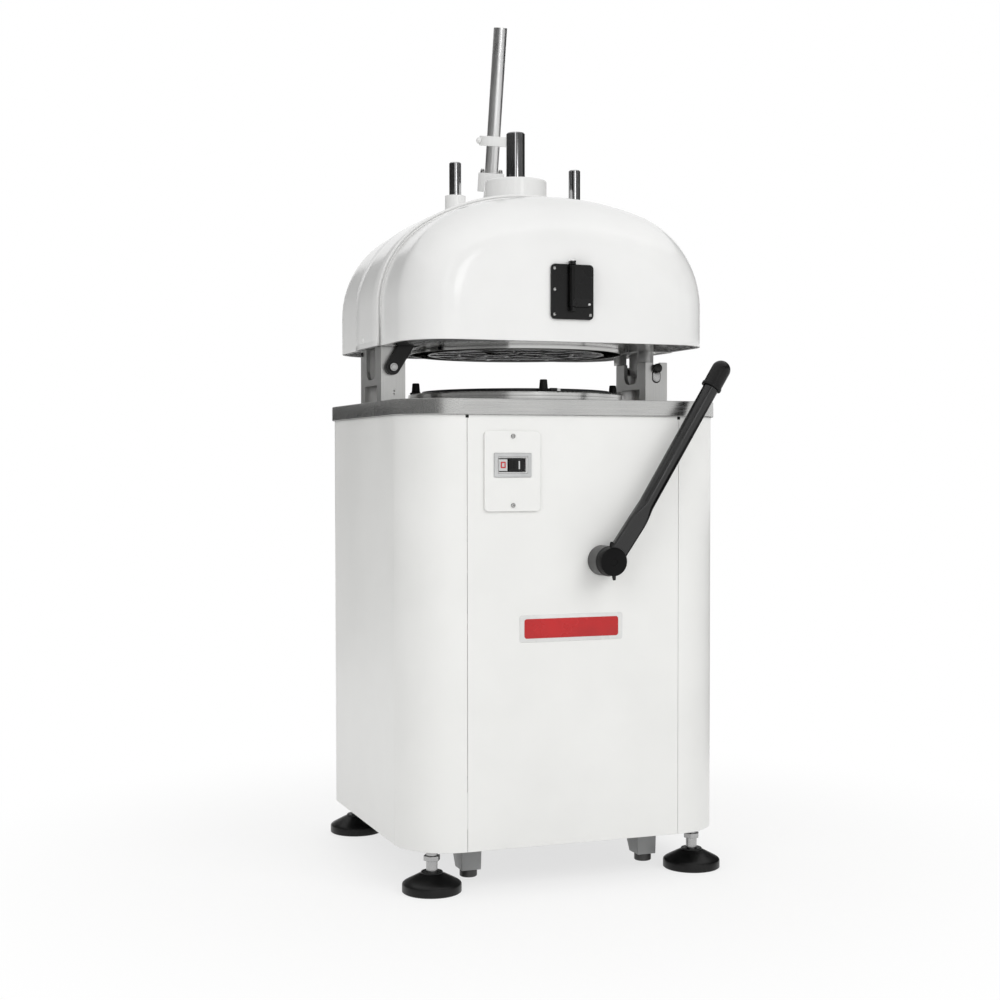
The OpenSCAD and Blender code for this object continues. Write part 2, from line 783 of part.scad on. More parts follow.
module center_boss() color("white") place() difference() {
  rotate_extrude() {
    translate([0, seat_z]) square([boss_d / 2, boss_top - seat_z - 4]);
    translate([0, seat_z]) square([boss_d / 2 - 4, boss_top - seat_z]);
    translate([boss_d / 2 - 4, boss_top - 4]) intersection() {
      circle(4);
      square(4);
    }
  }
  post(0, 0, seat_z - 1, boss_top + 1, column_d / 2 + fit);
}

module guide_bosses() color("white") place() for (s = [-1, 1]) difference() {
  post(s * guide_x, 0, guide_boss_z - 56, guide_boss_z, guide_boss / 2);
  post(s * guide_x, 0, guide_boss_z - 57, guide_boss_z + 1, guide_d / 2 + fit);
}

module guard_ring() color("silver") place() {
  difference() {
    union() {
      post(0, 0, cup_z, cup_z + guard_h, guard_r);
      for (s = [0, 1]) mirror([s, 0, 0])
        box(guard_r - guard_t, head_a - band_t - 4, -28, 28, ledge_z, ledge_z + ear_t);
      translate([0, 0, head_z]) linear_extrude(floor_t) difference() {
        rounded(2 * floor_x, 2 * floor_y, floor_r);
        for (s = [0, 1]) mirror([s, 0]) translate([floor_in, -floor_cut])
          square([cab_w, floor_cut + band_y + 1]);
      }
    }
    post(0, 0, cup_z - 1, cup_z + guard_h + 1, guard_r - guard_t);
  }
}

module hinge_pin() color("gray") place() bar_y(post_x, -post_d / 2 - 8, post_d / 2 + 8, pin_z, pin_r);

module rocker_shaft() color("silver") place()
  bar_x(-rib_in - rib_t - 4, rib_in + rib_t + 4, rock_y, rock_z, rock_r);

module latch_plate() color("black") place() {
  slab_y(-shell_y - latch_t, -shell_y) translate([latch_x, latch_z]) rounded(latch_w, latch_h, 8);
  for (z = [flap_z - 8, flap_z + flap_h + 1]) {
    post(hinge_x, hinge_y, z, z + 7, knuckle_r);
    box(hinge_x - knuckle_r, hinge_x + knuckle_r, hinge_y, -shell_y - latch_t, z, z + 7);
  }
  post(hinge_x, hinge_y, flap_z - 8, flap_z + flap_h + 10, hinge_r);
}

module latch_flap() color("black") place() difference() {
  union() {
    post(hinge_x, hinge_y, flap_z, flap_z + flap_h, knuckle_r);
    translate([hinge_x, 0, 0]) rotate([90, 0, 90]) linear_extrude(flap_w)
      polygon([[hinge_y + knuckle_r, flap_z], [hinge_y + knuckle_r, flap_z + flap_h],
        [hinge_y + knuckle_r - flap_t, flap_z + flap_h], [hinge_y + knuckle_r - flap_t, flap_z + 14],
        [hinge_y + knuckle_r - 4, flap_z]]);
  }
  post(hinge_x, hinge_y, flap_z, flap_z + flap_h, hinge_r + fit);
}

// Press lever and what it moves

module at_rocker() translate([0, rock_y, rock_z]) rotate([lean, 0, 0]) children();

module press_rocker() color("gray") place() difference() {
  union() {
    bar_x(-arm_out, arm_out, rock_y, rock_z, rock_hub);
    for (s = [0, 1]) mirror([s, 0, 0]) {
      translate([0, rock_y, rock_z]) rotate([-rock_a, 0, 0]) box(arm_in, arm_out, -rock_len, 0, -5, 9);
      bar_x(arm_in, arm_out, nose_y, nose_z, rock_r);
    }
    at_rocker() cylinder(h = neck_len, r = neck_r);
  }
  bar_x(-cab_w / 2, cab_w / 2, rock_y, rock_z, rock_r + fit);
}

module lever_socket() color("white") place() at_rocker() difference() {
  translate([0, 0, socket_u]) linear_extrude(socket_len) {
    for (s = [-1, 1]) translate([12.5 * s, 0]) circle(tube_d / 2 + 1.5);
    square([25, tube_d + 3], center = true);
  }
  cylinder(h = neck_len, r = neck_r);
  translate([0, 0, neck_len]) cylinder(h = tube_end, r = tube_d / 2);
}

module press_tube() color("silver") place() at_rocker() translate([0, 0, neck_len]) difference() {
  cylinder(h = tube_end - neck_len, r = tube_d / 2);
  translate([0, 0, 10]) cylinder(h = tube_end - neck_len, r = tube_d / 2 - 2.5);
}

module tube_collar() color("white") place() at_rocker() translate([0, 0, collar_u - 10]) linear_extrude(20)
  difference() {
    union() {
      for (s = [-1, 1]) translate([8 * s, 0]) circle(tube_d / 2 + 8);
      square([16, tube_d + 16], center = true);
    }
    circle(tube_d / 2);
  }

module center_column() color("silver") place() {
  post(0, 0, seg_z + seg_h + seg_t, column_top - 2, column_d / 2);
  post(0, 0, seg_z + seg_h + seg_t, column_top, column_d / 2 - 2);
}

module crosshead() color("gray") place() difference() {
  box(-head_in, head_in, -28, 28, cross_z - cross_t, cross_z);
  post(0, 0, cross_z - cross_t, cross_z, column_d / 2);
}

// Radial and round cuts or knives, each of thickness t
module star(t, z0, z1) {
  for (k = [1, 2]) difference() {
    post(0, 0, z0, z1, knife_r[k] + t / 2);
    post(0, 0, z0 - 1, z1 + 1, knife_r[k] - t / 2);
  }
  for (k = [0:2], i = [0:cells[k] - 1]) rotate([0, 0, 360 / cells[k] * i])
    box(knife_r[k] - (k == 0 ? t / 2 : 0), knife_r[k + 1], -t / 2, t / 2, z0, z1);
}

module press_segments() color("silver") place() {
  difference() {
    post(0, 0, seg_z, seg_z + seg_h + seg_t, seg_r);
    star(blade_t + 2 * gap_k, seg_z - 1, seg_z + seg_h);
  }
  difference() {
    post(0, 0, seg_z + seg_h, seg_z + seg_h + seg_t + 9, column_d / 2 + 9);
    post(0, 0, seg_z + seg_h + seg_t, seg_z + seg_h + seg_t + 10, column_d / 2);
  }
}

module guide_columns() color("silver") place() for (s = [-1, 1]) {
  post(s * guide_x, 0, cup_z + cup_h, guide_top - 1.5, guide_d / 2);
  post(s * guide_x, 0, cup_z + cup_h, guide_top, guide_d / 2 - 1.5);
}

module confining_ring() color("silver") place() difference() {
  post(0, 0, cup_z, cup_z + cup_h, cup_r);
  post(0, 0, cup_z - 1, cup_z + cup_h - lid_t, cup_r - cup_t);
  post(0, 0, cup_z, cup_z + cup_h + 1, column_d / 2 + 12);
}

module knife_star() color("silver") place() {
  star(blade_t, cup_z, cup_z + knife_h);
  difference() {
    post(0, 0, cup_z, cup_z + knife_h, cup_r - cup_t);
    post(0, 0, cup_z - 1, cup_z + knife_h + 1, cup_r - cup_t - hoop_t);
  }
}

module hold_arm() color("black") place() translate([arm_x, 0, arm_z]) difference() {
  slab_y(-post_d / 2 - arm_t - air, -post_d / 2 - air) rotate(-arm_a) {
    translate([-arm_w / 2, 0]) square([arm_w, arm_len - 8]);
    translate([8 - arm_w / 2, 0]) square([arm_w - 16, arm_len]);
    for (s = [-1, 1]) translate([s * (arm_w / 2 - 8), arm_len - 8]) circle(8);
    circle(arm_w / 2);
  }
  bar_y(0, -post_d, 0, 0, bolt_r + fit);
}

base_frame();
front_panel();
front_corners();
left_side_panel();
right_side_panel();
rear_panel();
rear_corners();
table_top();
left_post();
right_post();
foot_pads();
foot_stems();
base_lugs();
switch_plate();
switch_body();
stop_button();
start_button();
lever_bearing();
lever_shaft();
lever_hub();
lever_tube();
lever_grip();
drive_plate();
main_bearing();
main_shaft();
main_pulley();
motor();
motor_pulley();
drive_belt();
idler_arm();
idler_roller();
idler_crank_a();
idler_crank_b();
idler_crank_c();
table_carrier();
table_cover();
moulding_plate();
plate_pegs();
yoke();
front_shell();
rear_shell();
center_boss();
guide_bosses();
guard_ring();
hinge_pin();
rocker_shaft();
latch_plate();
latch_flap();
press_rocker();
lever_socket();
press_tube();
tube_collar();
center_column();
crosshead();
press_segments();
guide_columns();
confining_ring();
knife_star();
hold_arm();
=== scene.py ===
import math

import bmesh
import bpy
from mathutils import Matrix, Vector


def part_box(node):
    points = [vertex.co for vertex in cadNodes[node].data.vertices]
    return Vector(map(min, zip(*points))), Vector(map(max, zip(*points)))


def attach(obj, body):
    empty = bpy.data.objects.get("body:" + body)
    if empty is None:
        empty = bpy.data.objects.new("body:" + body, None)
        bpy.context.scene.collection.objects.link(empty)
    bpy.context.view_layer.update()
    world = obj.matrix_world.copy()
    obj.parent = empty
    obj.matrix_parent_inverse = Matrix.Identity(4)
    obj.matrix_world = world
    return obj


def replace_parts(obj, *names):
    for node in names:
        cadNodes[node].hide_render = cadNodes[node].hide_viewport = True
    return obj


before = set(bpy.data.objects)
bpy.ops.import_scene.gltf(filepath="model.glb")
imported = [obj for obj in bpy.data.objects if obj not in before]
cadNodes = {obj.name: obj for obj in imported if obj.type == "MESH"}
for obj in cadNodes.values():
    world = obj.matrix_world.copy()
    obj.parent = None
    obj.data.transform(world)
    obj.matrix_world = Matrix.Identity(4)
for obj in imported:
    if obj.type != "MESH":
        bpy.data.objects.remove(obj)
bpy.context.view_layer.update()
mm = 0.001
tip = 0.01  # radius of the small ring that closes a turned shape on its axis, in mm
tableLow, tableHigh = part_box("table_cover")
axisY = (tableLow.y + tableHigh.y) / 2 / mm  # the table axis stands this far behind the origin
print("frame loaded:", len(cadNodes), "nodes, table axis at y", round(axisY, 2))


# small helpers

def linear(code):
    values = [int(code[i:i + 2], 16) / 255 for i in (1, 3, 5)]
    return [v / 12.92 if v <= 0.04045 else ((v + 0.055) / 1.055) ** 2.4 for v in values] + [1]


def perMm(size):
    return 1000 / size  # texture scale for a feature of this size in mm


def addNode(tree, kind, settings=None, **inputs):
    node = tree.nodes.new(kind)
    for key, value in (settings or {}).items():
        setattr(node, key, value)
    for key, value in inputs.items():
        name = int(key[1:]) if key[0] == "i" and key[1:].isdigit() else key.replace("_", " ")
        if isinstance(value, bpy.types.NodeSocket):
            tree.links.new(value, node.inputs[name])
        else:
            node.inputs[name].default_value = value
    return node


def newMaterial(name, **sockets):
    material = bpy.data.materials.new(name)
    material.use_nodes = True
    tree = material.node_tree
    shader = tree.nodes["Principled BSDF"]
    for key, value in sockets.items():
        shader.inputs[key.replace("_", " ")].default_value = value
    return material, tree, shader


def at(x, y, z):
    return Vector((x * mm, (y + axisY) * mm, z * mm))  # millimetres from the table axis and the floor


def newPiece(name, mesh, material, body):
    piece = bpy.data.objects.new(name, mesh)
    bpy.context.scene.collection.objects.link(piece)
    mesh.materials.append(material)
    if body:
        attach(piece, body)
    return piece


def addModifier(piece, name, kind, **settings):
    modifier = piece.modifiers.new(name, kind)
    for key, value in settings.items():
        setattr(modifier, key, value)


def gridFaces(rows, count, ring=True, loop=False):
    # quads between rows of points: ring joins the ends of each row, loop joins the last row to the first
    faces = []
    for j in range(rows if loop else rows - 1):
        n = (j + 1) % rows
        for k in range(count if ring else count - 1):
            m = (k + 1) % count
            faces.append((j * count + k, j * count + m, n * count + m, n * count + k))
    return faces


def endFaces(rows, count):
    return [tuple(range(count)), tuple((rows - 1) * count + k for k in range(count))]


def meshOf(name, points, faces, sharp=35):
    mesh = bpy.data.meshes.new(name)
    mesh.from_pydata(points, [], faces)
    bm = bmesh.new()
    bm.from_mesh(mesh)
    bmesh.ops.recalc_face_normals(bm, faces=bm.faces)
    bm.to_mesh(mesh)
    bm.free()
    mesh.shade_smooth()
    mesh.set_sharp_from_angle(angle=math.radians(sharp))
    return mesh


def lathe(name, profile, origin, axis, steps, sharp):
    # profile rows are radius and height along the axis, in mm
    turn = Vector(axis).to_track_quat("Z", "Y").to_matrix()
    points = []
    for r, h in profile:
        for k in range(steps):
            a = 2 * math.pi * k / steps
            points.append(origin + turn @ Vector((r * math.cos(a), r * math.sin(a), h)) * mm)
    faces = gridFaces(len(profile), steps) + endFaces(len(profile), steps)
    return meshOf(name, points, faces, sharp)


# camera at the photograph's viewing angle

camera = {"place": (-1172.1, -3082.5, 783.8), "yaw": 20.26, "pitch": -1.767, "roll": -0.06, "focal": 1626.3,
          "frame": 1000, "sensor": 36, "middle": 513.9}

lens = bpy.data.cameras.new("camera")
lens.sensor_width = camera["sensor"]
lens.lens = camera["focal"] / camera["frame"] * camera["sensor"]
lens.shift_y = (camera["middle"] - camera["frame"] / 2) / camera["frame"]
viewer = bpy.data.objects.new("camera", lens)
viewer.location = at(*camera["place"])
turnYaw = Matrix.Rotation(math.radians(-camera["yaw"]), 4, "Z")
turnPitch = Matrix.Rotation(math.radians(90 + camera["pitch"]), 4, "X")
turnRoll = Matrix.Rotation(math.radians(camera["roll"]), 4, "Z")
viewer.rotation_euler = (turnYaw @ turnPitch @ turnRoll).to_euler()
bpy.context.scene.collection.objects.link(viewer)
bpy.context.scene.camera = viewer
print("camera set")


# studio: white floor that fades into a white surround, soft lamps and reflection cards

studio = {"floor": "#f6f6f5", "floorSize": 30, "paper": 0.9, "fadeFrom": 0.4, "fadeTo": 1.3, "nearShare": 0.72,
          "ambient": 0.57,
          "lamps": [("key", (1500, -3000, 2900), 2.2, 44, False), ("fill", (-2600, -2300, 2300), 2.4, 27, False),
                    ("back", (400, 3000, 2600), 2.4, 26, False), ("softbox", (100, -2400, 1570), 0.5, 2.0, True)],
          "aim": (0, 0, 900)}

scene = bpy.context.scene
scene.view_settings.view_transform = "Standard"
world = bpy.data.worlds.new("surround")
scene.world = world
world.use_nodes = True
worldTree = world.node_tree
path = addNode(worldTree, "ShaderNodeLightPath")
seen = addNode(worldTree, "ShaderNodeMath", {"operation": "MAXIMUM"}, i0=path.outputs["Is Camera Ray"],
               i1=path.outputs["Is Glossy Ray"])
seen = addNode(worldTree, "ShaderNodeMath", {"operation": "MAXIMUM"}, i0=seen.outputs[0],
               i1=path.outputs["Is Transmission Ray"])
level = addNode(worldTree, "ShaderNodeMapRange", Value=seen.outputs[0], To_Min=studio["ambient"], To_Max=1.0)
back = worldTree.nodes["Background"]
back.inputs["Color"].default_value = (1, 1, 1, 1)
worldTree.links.new(level.outputs[0], back.inputs["Strength"])

floorMaterial, floorTree, floorShader = newMaterial("studio paper", Roughness=studio["paper"])
floorShader.inputs["Base Color"].default_value = linear(studio["floor"])
place = addNode(floorTree, "ShaderNodeTexCoord")
flat = addNode(floorTree, "ShaderNodeVectorMath", {"operation": "LENGTH"}, i0=place.outputs["Object"])
fade = addNode(floorTree, "ShaderNodeMapRange", {"interpolation_type": "SMOOTHSTEP"}, Value=flat.outputs["Value"],
               From_Min=studio["fadeFrom"], From_Max=studio["fadeTo"], To_Min=studio["nearShare"])
white = addNode(floorTree, "ShaderNodeEmission", Color=(1, 1, 1, 1), Strength=1.0)
floorPath = addNode(floorTree, "ShaderNodeLightPath")
floorSeen = addNode(floorTree, "ShaderNodeMath", {"operation": "MAXIMUM"}, i0=floorPath.outputs["Is Camera Ray"],
                    i1=floorPath.outputs["Is Glossy Ray"])
share = addNode(floorTree, "ShaderNodeMath", {"operation": "MULTIPLY"}, i0=fade.outputs[0], i1=floorSeen.outputs[0])
mixed = addNode(floorTree, "ShaderNodeMixShader", i0=share.outputs[0], i1=floorShader.outputs[0],
                i2=white.outputs[0])
floorTree.links.new(mixed.outputs[0], floorTree.nodes["Material Output"].inputs["Surface"])

half = studio["floorSize"] / 2
floor = newPiece("floor", meshOf("floor", [(-half, -half, 0), (half, -half, 0), (half, half, 0), (-half, half, 0)],
                                 [(0, 1, 2, 3)]), floorMaterial, None)

for name, spot, size, power, mirrored in studio["lamps"]:
    lamp = bpy.data.lights.new(name, "AREA")
    lamp.shape = "SQUARE"
    lamp.size = size
    lamp.energy = power
    holder = bpy.data.objects.new(name, lamp)
    holder.location = at(*spot)
    holder.rotation_euler = (at(*studio["aim"]) - holder.location).to_track_quat("-Z", "Y").to_euler()
    holder.visible_glossy = mirrored
    scene.collection.objects.link(holder)

# curved cards round the set, seen only in reflections: radius, compass angles, heights and the shades of their ends
cards = {"steps": 16, "rough": 0.9,
         "wings": [("lowCard", 2700, 98, 242, 100, 910, "#d8d8d8", "#8c8c8c"),
                   ("edgeCard", 2700, 98, 242, 910, 1030, "#141414", "#141414"),
                   ("postCard", 2700, 98, 242, 1030, 1260, "#e0e0e0", "#a8a8a8"),
                   ("headCard", 2700, 98, 242, 1260, 1800, "#8c8c8c", "#2a2a2a"),
                   ("darkCard", 2700, 98, 242, 1800, 2900, "#1e1e1e", "#d0d0d0"),
                   ("frontCard", 2700, 254, 275, 1600, 2700, "#808080", "#808080"),
                   ("greyCard", 2700, 275, 345, 1550, 2700, "#6a6a6a", "#6a6a6a"),
                   ("rightCard", 2700, 345, 400, 1200, 2700, "#222222", "#222222"),
                   ("backCard", 2700, 40, 98, 560, 985, "#303030", "#303030"),
                   ("leverCard", 1300, 315, 395, 5, 640, "#141414", "#141414")]}

for name, radius, first, last, low, high, lowShade, highShade in cards["wings"]:
    cardMaterial, cardTree, cardShader = newMaterial(name, Roughness=cards["rough"])
    cardPlace = addNode(cardTree, "ShaderNodeTexCoord")
    cardParts = addNode(cardTree, "ShaderNodeSeparateXYZ", i0=cardPlace.outputs["Object"])
    rise = addNode(cardTree, "ShaderNodeMapRange", {"interpolation_type": "SMOOTHSTEP"}, Value=cardParts.outputs["Z"],
                   From_Min=low * mm, From_Max=high * mm)
    cardTone = addNode(cardTree, "ShaderNodeMix", {"data_type": "RGBA"}, i0=rise.outputs[0], i6=linear(lowShade),
                       i7=linear(highShade))
    cardTree.links.new(cardTone.outputs[2], cardShader.inputs["Base Color"])
    points = []
    for k in range(cards["steps"] + 1):
        a = math.radians(first + (last - first) * k / cards["steps"])
        for z in (low, high):
            points.append(at(radius * math.cos(a), radius * math.sin(a), z))
    card = newPiece(name, meshOf(name, points, gridFaces(cards["steps"] + 1, 2, False)), cardMaterial, None)
    card.visible_camera = False
    card.visible_diffuse = False
    card.visible_shadow = False
    card.visible_transmission = False
print("studio lit")


# materials: the part of a noise's range that carries the change of colour and of gloss

noise = {"colour": (0.35, 0.65), "gloss": (0.3, 0.7)}


def tinted(tree, shader, source, dark, pale, span=noise["colour"]):
    amount = addNode(tree, "ShaderNodeMapRange", Value=source, From_Min=span[0], From_Max=span[1])
    colour = addNode(tree, "ShaderNodeMix", {"data_type": "RGBA"}, i0=amount.outputs[0], i6=linear(dark),
                     i7=linear(pale))
    tree.links.new(colour.outputs[2], shader.inputs["Base Color"])


def roughened(tree, shader, source, low, high):
    rough = addNode(tree, "ShaderNodeMapRange", Value=source, From_Min=noise["gloss"][0], From_Max=noise["gloss"][1],
                    To_Min=low, To_Max=high)
    tree.links.new(rough.outputs[0], shader.inputs["Roughness"])


def bumped(tree, shader, source, depth):
    bump = addNode(tree, "ShaderNodeBump", Height=source, Distance=depth * mm, Strength=1.0)
    tree.links.new(bump.outputs[0], shader.inputs["Normal"])


def frameCoords(tree, x=1, y=1, z=1):
    coords = addNode(tree, "ShaderNodeTexCoord")
    return addNode(tree, "ShaderNodeVectorMath", {"operation": "MULTIPLY"}, i0=coords.outputs["Object"],
                   i1=(x, y, z)).outputs[0]


def noiseOf(tree, size, detail, *stretch):
    return addNode(tree, "ShaderNodeTexNoise", Vector=frameCoords(tree, *stretch), Scale=perMm(size),
                   Detail=detail).outputs[0]


# white powder coat and enamel, sprayed and baked: even colour, soft gloss, faint orange peel
# the peel is really about 2 mm across and is drawn coarser so that it shows
coat = {"ior": 1.5, "cloud": 180, "gloss": 0.04, "peelDepth": 0.05}


def powderCoat(name, dark, pale, rough, peel=7):
    material, tree, shader = newMaterial(name, IOR=coat["ior"])
    peelNoise = noiseOf(tree, peel, 2)
    shade = noiseOf(tree, coat["cloud"], 3)
    tinted(tree, shader, shade, dark, pale)
    roughened(tree, shader, shade, rough - coat["gloss"], rough + coat["gloss"])
    bumped(tree, shader, peelNoise, coat["peelDepth"])
    return material


# stainless or ground sheet with a fine belt grain: long bright and dark hairs along the grain
# the hairs are really under 0.2 mm wide and are drawn about 0.8 mm wide
brush = {"anisotropy": 0.4, "cloud": 90, "cloudShare": 0.4, "span": (0.5, 0.9), "gloss": (-0.06, 0.1), "depth": 0.006}


def brushedSteel(name, dark, pale, rough, along=(1, 110, 110), line=90):
    material, tree, shader = newMaterial(name, Metallic=1.0, Anisotropic=brush["anisotropy"])
    grain = noiseOf(tree, line, 4, *along)
    cloud = noiseOf(tree, brush["cloud"], 2)
    both = addNode(tree, "ShaderNodeMath", {"operation": "MULTIPLY_ADD"}, i0=cloud, i1=brush["cloudShare"], i2=grain)
    tinted(tree, shader, both.outputs[0], dark, pale, brush["span"])
    roughened(tree, shader, grain, rough + brush["gloss"][0], rough + brush["gloss"][1])
    bumped(tree, shader, grain, brush["depth"])
    return material


# metal faced on a lathe: fine rings about the table axis
# the tool marks are really about 0.2 mm apart and are drawn wider
turned = {"ring": 1.6, "gloss": (-0.05, 0.08), "depth": 0.02}


def turnedSteel(name, dark, pale, rough):
    material, tree, shader = newMaterial(name, Metallic=1.0)
    coords = addNode(tree, "ShaderNodeTexCoord")
    middle = addNode(tree, "ShaderNodeVectorMath", {"operation": "SUBTRACT"}, i0=coords.outputs["Object"],
                     i1=(0, axisY * mm, 0))
    parts = addNode(tree, "ShaderNodeSeparateXYZ", i0=middle.outputs[0])
    plan = addNode(tree, "ShaderNodeCombineXYZ", X=parts.outputs["X"], Y=parts.outputs["Y"])
    radius = addNode(tree, "ShaderNodeVectorMath", {"operation": "LENGTH"}, i0=plan.outputs[0])
    key = addNode(tree, "ShaderNodeCombineXYZ", X=radius.outputs["Value"], Y=parts.outputs["Z"])
    marks = addNode(tree, "ShaderNodeTexNoise", Vector=key.outputs[0], Scale=perMm(turned["ring"]), Detail=2)
    tinted(tree, shader, marks.outputs[0], dark, pale)
    roughened(tree, shader, marks.outputs[0], rough + turned["gloss"][0], rough + turned["gloss"][1])
    bumped(tree, shader, marks.outputs[0], turned["depth"])
    return material


# ground, cast or plated metal: small even mottling
mottled = {"gloss": (0.85, 1.2)}


def plainMetal(name, dark, pale, rough, speck, depth):
    material, tree, shader = newMaterial(name, Metallic=1.0)
    mottle = noiseOf(tree, speck, 3)
    tinted(tree, shader, mottle, dark, pale)
    roughened(tree, shader, mottle, rough * mottled["gloss"][0], rough * mottled["gloss"][1])
    bumped(tree, shader, mottle, depth)
    return material


# paint, plastic or rubber: fine grain and small changes of gloss
worn = {"size": 60, "span": (0.35, 0.7), "gloss": (-0.06, 0.08)}


def dullCoat(name, dark, pale, rough, speck=4, depth=0.08, ior=1.5, gloss=0.5):
    material, tree, shader = newMaterial(name, IOR=ior, Specular_IOR_Level=gloss)
    grain = noiseOf(tree, speck, 3)
    wear = noiseOf(tree, worn["size"], 3)
    tinted(tree, shader, wear, dark, pale, worn["span"])
    roughened(tree, shader, wear, rough + worn["gloss"][0], rough + worn["gloss"][1])
    bumped(tree, shader, grain, depth)
    return material


whitePowder = powderCoat("white powder coat on sheet steel", "#ececea", "#f0f0ee", 0.34)
whiteEnamel = powderCoat("gloss white enamel on castings", "#e9e9e8", "#ededec", 0.14, peel=9)
stainless = brushedSteel("brushed stainless sheet", "#b2b2b1", "#c6c6c4", 0.24)
turnedStainless = turnedSteel("turned stainless", "#a4a4a3", "#cfcfcd", 0.2)
polishedStainless = turnedSteel("polished stainless ring", "#b6b6b5", "#d0d0ce", 0.12)
groundSteel = brushedSteel("ground steel plate", "#b4b4b3", "#c2c2c0", 0.34, along=(90, 90, 1), line=70)
hardChrome = plainMetal("hard chrome on ground bar", "#d4d4d5", "#dededf", 0.1, speck=45, depth=0.0006)
satinTube = plainMetal("drawn stainless tube", "#e6e6e6", "#eeeeed", 0.3, speck=45, depth=0.0006)
zincPlate = plainMetal("bright zinc plate", "#adadad", "#b6b6b5", 0.28, speck=22, depth=0.002)
pressAlloy = turnedSteel("polished alloy press face", "#8a8a8b", "#9a9a9a", 0.2)
brightSteel = plainMetal("turned bright steel", "#9c9c9b", "#c4c4c2", 0.25, speck=3, depth=0.02)
darkSteel = plainMetal("oiled black steel", "#2b2b2b", "#3c3c3b", 0.35, speck=3, depth=0.03)
castIron = plainMetal("cast iron", "#2e2e2f", "#474747", 0.55, speck=2, depth=0.15)
castAluminium = plainMetal("cast aluminium", "#a2a3a4", "#b5b6b7", 0.34, speck=2.5, depth=0.04)
blackEnamel = dullCoat("black stove enamel", "#0b0b0b", "#141414", 0.3, speck=5, depth=0.04, gloss=0.3)
leverEnamel = dullCoat("gloss black enamel", "#0e0e0e", "#151515", 0.24, speck=3, depth=0.03, ior=1.6, gloss=0.44)
hubEnamel = dullCoat("satin black enamel", "#0a0a0a", "#101010", 0.36, speck=3, depth=0.04, gloss=0.12)
greyEnamel = dullCoat("grey enamel", "#6f7070", "#838484", 0.38)
lugEnamel = dullCoat("light grey enamel on castings", "#9fa0a0", "#aeafaf", 0.36, speck=3, depth=0.1)
bearingGrey = dullCoat("dark grey enamel", "#3d3d3d", "#4c4c4b", 0.35, speck=4, depth=0.06, gloss=0.4)
frameGrey = dullCoat("grey primer on welded frame", "#5d5e60", "#70716f", 0.55)
motorBlue = dullCoat("blue motor enamel", "#2a3f58", "#36506c", 0.4)
blackPlastic = dullCoat("moulded black polyamide", "#0a0a0a", "#131313", 0.34, speck=2, depth=0.08, gloss=0.3)
greyPlastic = dullCoat("light grey ABS", "#b9baba", "#c8c9c9", 0.35, speck=2, depth=0.05)
whitePlastic = dullCoat("white ABS", "#dcdcdb", "#e6e6e5", 0.3, speck=2, depth=0.04)
redEnamel = dullCoat("red enamel", "#b3171a", "#c21d20", 0.25, speck=3, depth=0.03)
mouldPlastic = dullCoat("black acetal plate", "#161617", "#222223", 0.4, speck=3, depth=0.05, gloss=0.35)
pegRubber = dullCoat("black nitrile rubber", "#0f0f0f", "#191918", 0.6, speck=2, depth=0.12, gloss=0.3)
beltRubber = dullCoat("rubber belt cloth", "#1a1a1a", "#2b2a29", 0.7, speck=1.5, depth=0.15)
print("materials made")


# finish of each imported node, and how far its edges are rounded in mm

finishes = {
    "front_panel": (whitePowder, 0.6), "front_corners": (whitePowder, 0.6), "left_side_panel": (whitePowder, 0.6),
    "right_side_panel": (whitePowder, 0.6), "rear_panel": (whitePowder, 0.6), "rear_corners": (whitePowder, 0.6),
    "switch_plate": (whitePowder, 1.2), "table_top": (stainless, 1.2), "table_cover": (turnedStainless, 0.4),
    "guard_ring": (polishedStainless, 0.6), "confining_ring": (turnedStainless, 0.5),
    "press_segments": (pressAlloy, 0.3), "knife_star": (pressAlloy, 0), "table_carrier": (castAluminium, 0.5),
    "moulding_plate": (mouldPlastic, 0.5), "plate_pegs": (pegRubber, 0.6), "left_post": (groundSteel, 0.5),
    "right_post": (groundSteel, 0.5), "foot_stems": (zincPlate, 0.6), "switch_body": (greyPlastic, 0.8),
    "stop_button": (greyPlastic, 0.8), "start_button": (blackPlastic, 0.8), "lever_bearing": (bearingGrey, 1.0),
    "lever_grip": (blackPlastic, 0.8), "lever_shaft": (brightSteel, 0.5), "yoke": (whiteEnamel, 0),
    "center_boss": (whiteEnamel, 0.6), "guide_bosses": (whiteEnamel, 0.8), "lever_socket": (whiteEnamel, 1.0),
    "tube_collar": (whiteEnamel, 1.0), "hinge_pin": (darkSteel, 0.8), "rocker_shaft": (brightSteel, 0.5),
    "latch_plate": (blackEnamel, 0.8), "latch_flap": (blackEnamel, 1.0), "hold_arm": (blackEnamel, 1.2),
    "press_rocker": (darkSteel, 0.8), "press_tube": (satinTube, 0.4), "center_column": (hardChrome, 0.4),
    "guide_columns": (hardChrome, 0.4), "crosshead": (darkSteel, 0.8), "base_frame": (frameGrey, 0.8),
    "drive_plate": (greyEnamel, 0.8), "main_bearing": (castIron, 1.0), "main_shaft": (brightSteel, 0.6),
    "main_pulley": (castIron, 0.8), "motor": (motorBlue, 0.8), "motor_pulley": (castIron, 0.8),
    "drive_belt": (beltRubber, 0.5), "idler_arm": (greyEnamel, 0.6), "idler_roller": (brightSteel, 0.5),
    "idler_crank_a": (brightSteel, 0.5), "idler_crank_b": (brightSteel, 0.5), "idler_crank_c": (brightSteel, 0.5),
}

# welding distance in mm, angles in degrees that are still flat and that count as an edge, and steps of a rounded edge
dressing = {"weld": 0.01, "flat": 0.5, "corner": 32, "segments": 2}


def roundEdges(piece, name, width, corner, **settings):
    addModifier(piece, name, "BEVEL", width=width * mm, segments=dressing["segments"], limit_method="ANGLE",
                angle_limit=math.radians(corner), **settings)


